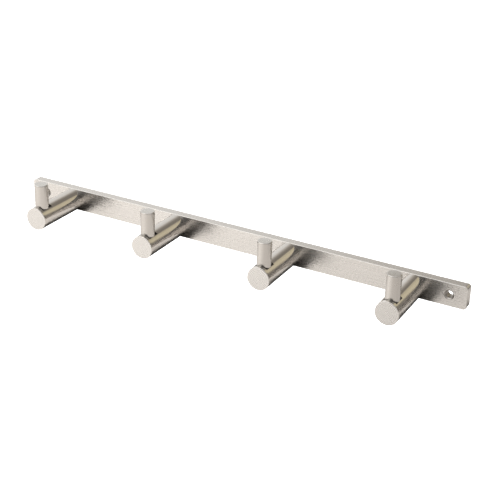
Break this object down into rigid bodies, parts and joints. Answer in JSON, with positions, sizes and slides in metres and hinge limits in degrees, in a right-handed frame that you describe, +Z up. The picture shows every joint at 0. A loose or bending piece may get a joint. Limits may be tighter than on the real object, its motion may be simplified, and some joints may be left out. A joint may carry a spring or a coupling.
{
  "type": "wall hook rack",
  "caption": "Flat stainless bar for a wall with a row of round pegs standing out of it, each with an upright pin near its end that keeps a loop from slipping off.",
  "frame": {"origin": "centre of the bar's back face, which lies against the wall", "axes": "+X along the bar to the right as one faces the rack, +Y into the wall, +Z up; the pegs stand out towards -Y"},
  "size_m": [0.42, 0.063, 0.04],
  "materials": {
    "bar_steel": "brushed along the bar, edges eased, fingerprint-free satin",
    "peg_steel": "fine turned satin on the round, faced and lightly brushed end",
    "pin_steel": "fine satin brushed along the pin, faced top with a small chamfer",
    "fastener_steel": "plain bright stainless fastener, dull in its socket"
  },
  "bodies": {
    "root": {"back_plate": "bar_steel", "peg_1": "peg_steel", "peg_2": "peg_steel", "peg_3": "peg_steel", "peg_4": "peg_steel", "hook_pin_1": "pin_steel", "hook_pin_2": "pin_steel", "hook_pin_3": "pin_steel", "hook_pin_4": "pin_steel", "pin_stud_1": "fastener_steel", "pin_stud_2": "fastener_steel", "pin_stud_3": "fastener_steel", "pin_stud_4": "fastener_steel", "peg_screw_1": "fastener_steel", "peg_screw_2": "fastener_steel", "peg_screw_3": "fastener_steel", "peg_screw_4": "fastener_steel"}
  },
  "joints": []
}
